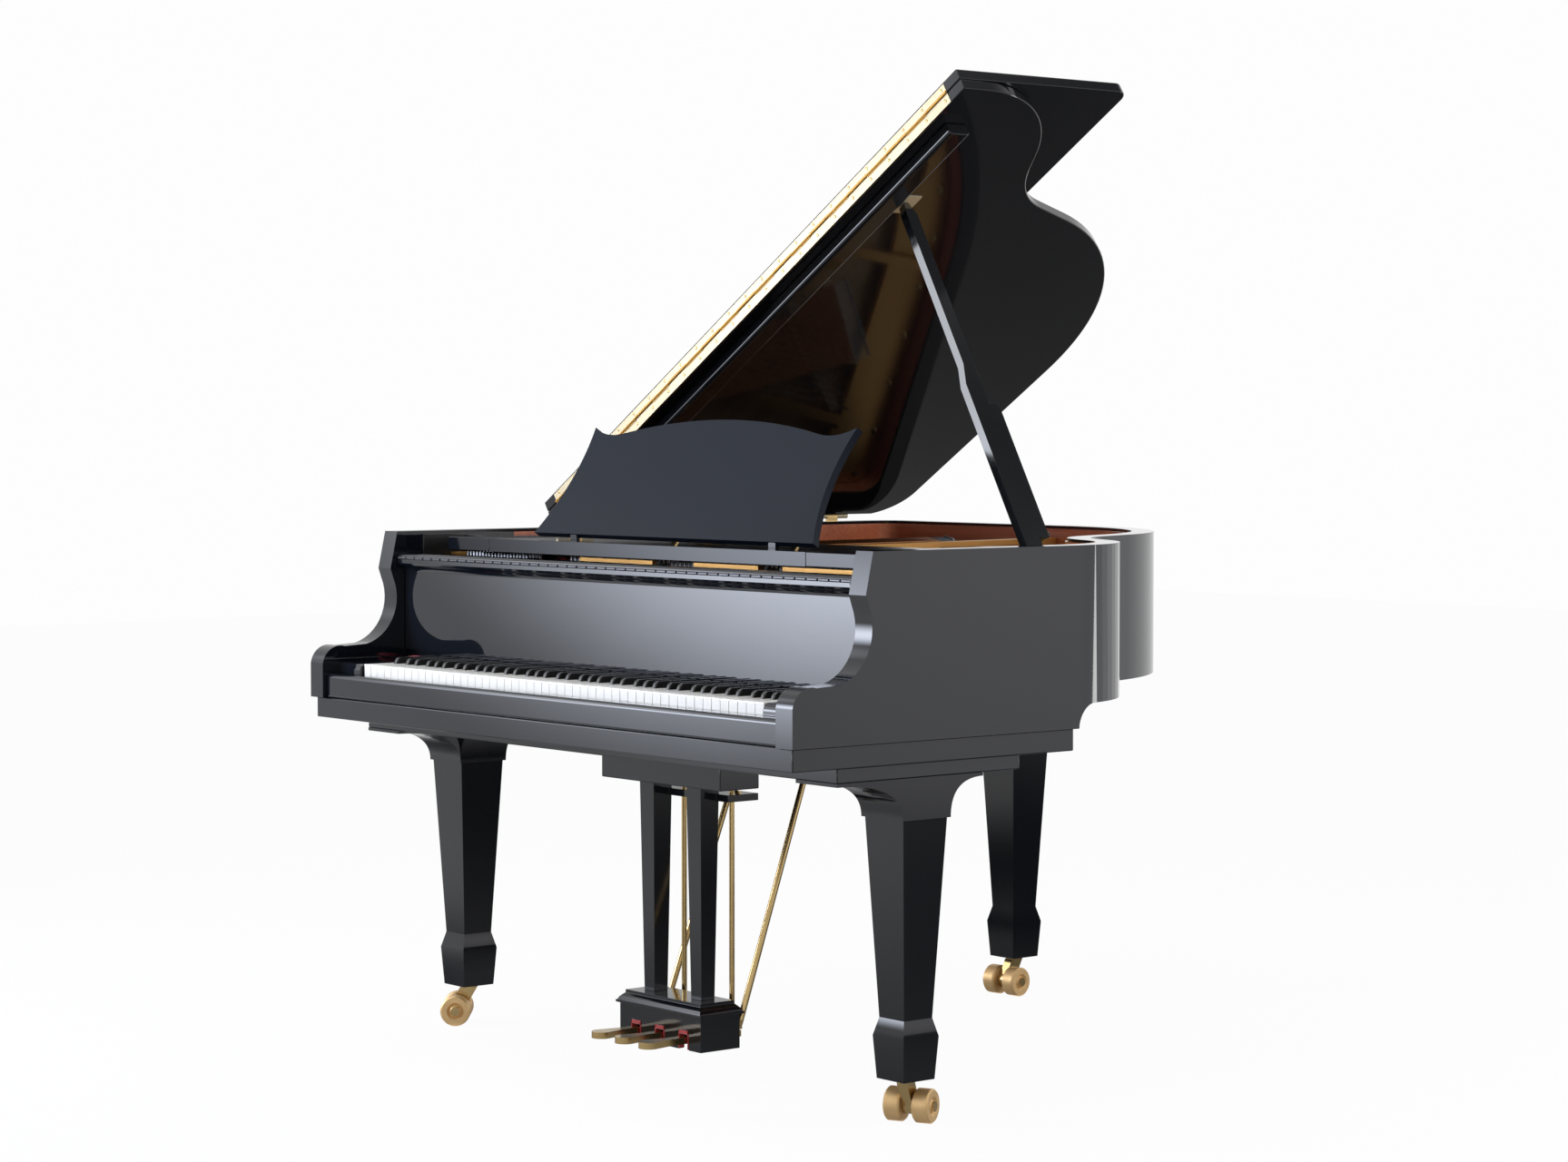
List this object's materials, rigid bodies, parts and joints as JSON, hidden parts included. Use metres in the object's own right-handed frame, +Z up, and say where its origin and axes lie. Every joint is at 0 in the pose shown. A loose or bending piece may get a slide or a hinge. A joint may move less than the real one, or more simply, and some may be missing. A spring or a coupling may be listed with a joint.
{
  "type": "grand piano",
  "caption": "Small grand piano with scrolled arms, bent rim, cast string frame, raised folding lid on a prop, music desk, pedal lyre and square tapered legs on twin-wheel casters.",
  "frame": {"origin": "on the floor, below the middle of the case's box", "axes": "+X from bass to treble, +Y from the keyboard to the tail, +Z up"},
  "size_m": [1.5038, 1.505, 1.8237],
  "materials": {
    "black_polish": "polished black lacquer",
    "mahogany": "polished red-brown veneer",
    "spruce": "satin varnish",
    "maple": "satin varnish",
    "gold_iron": "gold bronze paint",
    "steel": "bright steel",
    "copper": "copper winding",
    "brass": "polished brass",
    "white_key": "wood with a glossy white top",
    "black_key": "wood with a satin black cap",
    "satin_slate": "satin dark slate lacquer"
  },
  "bodies": {
    "case": {"outer_rim": "black_polish", "inner_rim": "mahogany", "back_posts": "spruce", "key_bed": "black_polish", "key_slip": "black_polish", "key_blocks": "black_polish", "soundboard": "spruce", "bridges": "maple", "plate": "gold_iron", "pin_block": "maple", "tuning_pins": "steel", "plain_strings": "steel", "wound_strings": "copper", "desk_rails": "black_polish", "leg_front_left": "black_polish", "leg_front_right": "black_polish", "leg_rear": "black_polish", "lyre_top_block": "black_polish", "lyre_columns": "black_polish", "lyre_box": "black_polish", "lyre_braces": "brass", "lid_hinge_plates": "brass", "prop_bracket": "brass"},
    "lid": {"main_lid": "black_polish", "lid_fittings": "brass"},
    "flap": {"front_flap": "black_polish", "flap_hinge_leaf": "brass"},
    "prop": {"lid_prop": "black_polish"},
    "short_prop": {"half_prop": "black_polish"},
    "shelf": {"desk_shelf": "black_polish"},
    "desk": {"music_desk": "satin_slate"},
    "struts": {"desk_struts": "brass"},
    "fall": {"fallboard": "black_polish"},
    "damper_rail": {"dampers": "black_polish"},
    "keyboard": {"key_frame": "spruce", "action": "maple"},
    "pedal_left": {"pedal_left": "brass"},
    "rod_left": {"pedal_rod_left": "brass"},
    "pedal_middle": {"pedal_middle": "brass"},
    "rod_middle": {"pedal_rod_middle": "brass"},
    "pedal_right": {"pedal_right": "brass"},
    "rod_right": {"pedal_rod_right": "brass"},
    "white_keys_a": {"white_keys_a": "white_key"},
    "black_keys_a_sharp": {"black_keys_a_sharp": "black_key"},
    "white_keys_b": {"white_keys_b": "white_key"},
    "white_keys_c": {"white_keys_c": "white_key"},
    "black_keys_c_sharp": {"black_keys_c_sharp": "black_key"},
    "white_keys_d": {"white_keys_d": "white_key"},
    "black_keys_d_sharp": {"black_keys_d_sharp": "black_key"},
    "white_keys_e": {"white_keys_e": "white_key"},
    "white_keys_f": {"white_keys_f": "white_key"},
    "black_keys_f_sharp": {"black_keys_f_sharp": "black_key"},
    "white_keys_g": {"white_keys_g": "white_key"},
    "black_keys_g_sharp": {"black_keys_g_sharp": "black_key"},
    "swivel_front_left": {"caster_fork_front_left": "brass"},
    "wheels_front_left": {"caster_wheels_front_left": "brass"},
    "swivel_front_right": {"caster_fork_front_right": "brass"},
    "wheels_front_right": {"caster_wheels_front_right": "brass"},
    "swivel_rear": {"caster_fork_rear": "brass"},
    "wheels_rear": {"caster_wheels_rear": "brass"}
  },
  "joints": [
    {"name": "lid_hinge", "type": "hinge", "parent": "case", "child": "lid", "pos_m": [-0.746, 0, 0.995], "axis": [0, -1, 0], "range_deg": [0, 20]},
    {"name": "flap_hinge", "type": "hinge", "parent": "lid", "child": "flap", "pos_m": [-0.12547, -0.177, 1.40964], "axis": [0.8471, 0, 0.5314], "range_deg": [0, 180]},
    {"name": "prop_fold", "type": "hinge", "parent": "case", "child": "prop", "pos_m": [0.669, -0.14, 0.966], "axis": [-0.7005, -0.58, -0.4158], "range_deg": [0, 57]},
    {"name": "short_prop_swing", "type": "hinge", "parent": "prop", "child": "short_prop", "pos_m": [0.64453, -0.10638, 1.00112], "axis": [0.0581, 0.9948, -0.0834], "range_deg": [0, 50]},
    {"name": "desk_slide", "type": "slide", "parent": "case", "child": "shelf", "axis": [0, -1, 0], "range_m": [0, 0.12]},
    {"name": "desk_fold", "type": "hinge", "parent": "shelf", "child": "desk", "pos_m": [0, -0.432, 0.988], "axis": [-1, 0, 0], "range_deg": [0, 58]},
    {"name": "desk_strut_fold", "type": "hinge", "parent": "desk", "child": "struts", "pos_m": [0, -0.36275, 1.08033], "axis": [1, 0, 0], "range_deg": [0, 110]},
    {"name": "fallboard_turn", "type": "hinge", "parent": "case", "child": "fall", "pos_m": [0, -0.554, 0.764], "axis": [1, 0, 0], "range_deg": [0, 90]},
    {"name": "pedal_left_press", "type": "hinge", "parent": "case", "child": "pedal_left", "pos_m": [-0.072, -0.415, 0.068], "axis": [1, 0, 0], "range_deg": [0, 6.5], "stiffness_Nm_per_rad": 60, "springref_deg": -4.58},
    {"name": "pedal_rod_left_rise", "type": "slide", "parent": "case", "child": "rod_left", "axis": [0, 0, 1], "range_m": [0, 0.009]},
    {"name": "pedal_middle_press", "type": "hinge", "parent": "case", "child": "pedal_middle", "pos_m": [0, -0.415, 0.068], "axis": [1, 0, 0], "range_deg": [0, 6.5], "stiffness_Nm_per_rad": 60, "springref_deg": -4.58},
    {"name": "pedal_rod_middle_rise", "type": "slide", "parent": "case", "child": "rod_middle", "axis": [0, 0, 1], "range_m": [0, 0.009]},
    {"name": "pedal_right_press", "type": "hinge", "parent": "case", "child": "pedal_right", "pos_m": [0.072, -0.415, 0.068], "axis": [1, 0, 0], "range_deg": [0, 6.5], "stiffness_Nm_per_rad": 60, "springref_deg": -4.58},
    {"name": "pedal_rod_right_rise", "type": "slide", "parent": "case", "child": "rod_right", "axis": [0, 0, 1], "range_m": [0, 0.009]},
    {"name": "damper_lift", "type": "slide", "parent": "case", "child": "damper_rail", "axis": [0, 0, 1], "range_m": [0, 0.006]},
    {"name": "keyboard_shift", "type": "slide", "parent": "case", "child": "keyboard", "axis": [1, 0, 0], "range_m": [0, 0.003]},
    {"name": "white_keys_a_press", "type": "hinge", "parent": "keyboard", "child": "white_keys_a", "pos_m": [0, -0.488, 0.7047], "axis": [1, 0, 0], "range_deg": [0, 2.5], "stiffness_Nm_per_rad": 8, "springref_deg": -8.59},
    {"name": "black_keys_a_sharp_press", "type": "hinge", "parent": "keyboard", "child": "black_keys_a_sharp", "pos_m": [0, -0.488, 0.7047], "axis": [1, 0, 0], "range_deg": [0, 2.5], "stiffness_Nm_per_rad": 8, "springref_deg": -8.59},
    {"name": "white_keys_b_press", "type": "hinge", "parent": "keyboard", "child": "white_keys_b", "pos_m": [0, -0.488, 0.7047], "axis": [1, 0, 0], "range_deg": [0, 2.5], "stiffness_Nm_per_rad": 8, "springref_deg": -8.59},
    {"name": "white_keys_c_press", "type": "hinge", "parent": "keyboard", "child": "white_keys_c", "pos_m": [0, -0.488, 0.7047], "axis": [1, 0, 0], "range_deg": [0, 2.5], "stiffness_Nm_per_rad": 8, "springref_deg": -8.59},
    {"name": "black_keys_c_sharp_press", "type": "hinge", "parent": "keyboard", "child": "black_keys_c_sharp", "pos_m": [0, -0.488, 0.7047], "axis": [1, 0, 0], "range_deg": [0, 2.5], "stiffness_Nm_per_rad": 8, "springref_deg": -8.59},
    {"name": "white_keys_d_press", "type": "hinge", "parent": "keyboard", "child": "white_keys_d", "pos_m": [0, -0.488, 0.7047], "axis": [1, 0, 0], "range_deg": [0, 2.5], "stiffness_Nm_per_rad": 8, "springref_deg": -8.59},
    {"name": "black_keys_d_sharp_press", "type": "hinge", "parent": "keyboard", "child": "black_keys_d_sharp", "pos_m": [0, -0.488, 0.7047], "axis": [1, 0, 0], "range_deg": [0, 2.5], "stiffness_Nm_per_rad": 8, "springref_deg": -8.59},
    {"name": "white_keys_e_press", "type": "hinge", "parent": "keyboard", "child": "white_keys_e", "pos_m": [0, -0.488, 0.7047], "axis": [1, 0, 0], "range_deg": [0, 2.5], "stiffness_Nm_per_rad": 8, "springref_deg": -8.59},
    {"name": "white_keys_f_press", "type": "hinge", "parent": "keyboard", "child": "white_keys_f", "pos_m": [0, -0.488, 0.7047], "axis": [1, 0, 0], "range_deg": [0, 2.5], "stiffness_Nm_per_rad": 8, "springref_deg": -8.59},
    {"name": "black_keys_f_sharp_press", "type": "hinge", "parent": "keyboard", "child": "black_keys_f_sharp", "pos_m": [0, -0.488, 0.7047], "axis": [1, 0, 0], "range_deg": [0, 2.5], "stiffness_Nm_per_rad": 8, "springref_deg": -8.59},
    {"name": "white_keys_g_press", "type": "hinge", "parent": "keyboard", "child": "white_keys_g", "pos_m": [0, -0.488, 0.7047], "axis": [1, 0, 0], "range_deg": [0, 2.5], "stiffness_Nm_per_rad": 8, "springref_deg": -8.59},
    {"name": "black_keys_g_sharp_press", "type": "hinge", "parent": "keyboard", "child": "black_keys_g_sharp", "pos_m": [0, -0.488, 0.7047], "axis": [1, 0, 0], "range_deg": [0, 2.5], "stiffness_Nm_per_rad": 8, "springref_deg": -8.59},
    {"name": "swivel_front_left", "type": "hinge", "parent": "case", "child": "swivel_front_left", "pos_m": [-0.661, -0.435, 0], "axis": [0, 0, 1], "continuous": true},
    {"name": "wheels_front_left", "type": "hinge", "parent": "swivel_front_left", "child": "wheels_front_left", "pos_m": [-0.6762, -0.45357, 0.03], "axis": [-0.7738, 0.6334, 0], "continuous": true},
    {"name": "swivel_front_right", "type": "hinge", "parent": "case", "child": "swivel_front_right", "pos_m": [0.661, -0.435, 0], "axis": [0, 0, 1], "continuous": true},
    {"name": "wheels_front_right", "type": "hinge", "parent": "swivel_front_right", "child": "wheels_front_right", "pos_m": [0.65067, -0.41334, 0.03], "axis": [0.9026, 0.4305, 0], "continuous": true},
    {"name": "swivel_rear", "type": "hinge", "parent": "case", "child": "swivel_rear", "pos_m": [-0.24501, 0.663, 0], "axis": [0, 0, 1], "continuous": true},
    {"name": "wheels_rear", "type": "hinge", "parent": "swivel_rear", "child": "wheels_rear", "pos_m": [-0.24263, 0.63912, 0.03], "axis": [-0.9951, -0.0993, 0], "continuous": true}
  ],
  "couplings": [
    {"joint": "desk_strut_fold", "follows": "desk_fold", "ratio": 1.8966},
    {"joint": "pedal_rod_left_rise", "follows": "pedal_left_press", "m_per_rad": 0.075},
    {"joint": "pedal_rod_middle_rise", "follows": "pedal_middle_press", "m_per_rad": 0.075},
    {"joint": "pedal_rod_right_rise", "follows": "pedal_right_press", "m_per_rad": 0.075},
    {"joint": "damper_lift", "follows": "pedal_right_press", "m_per_rad": 0.05},
    {"joint": "keyboard_shift", "follows": "pedal_left_press", "m_per_rad": 0.026}
  ]
}
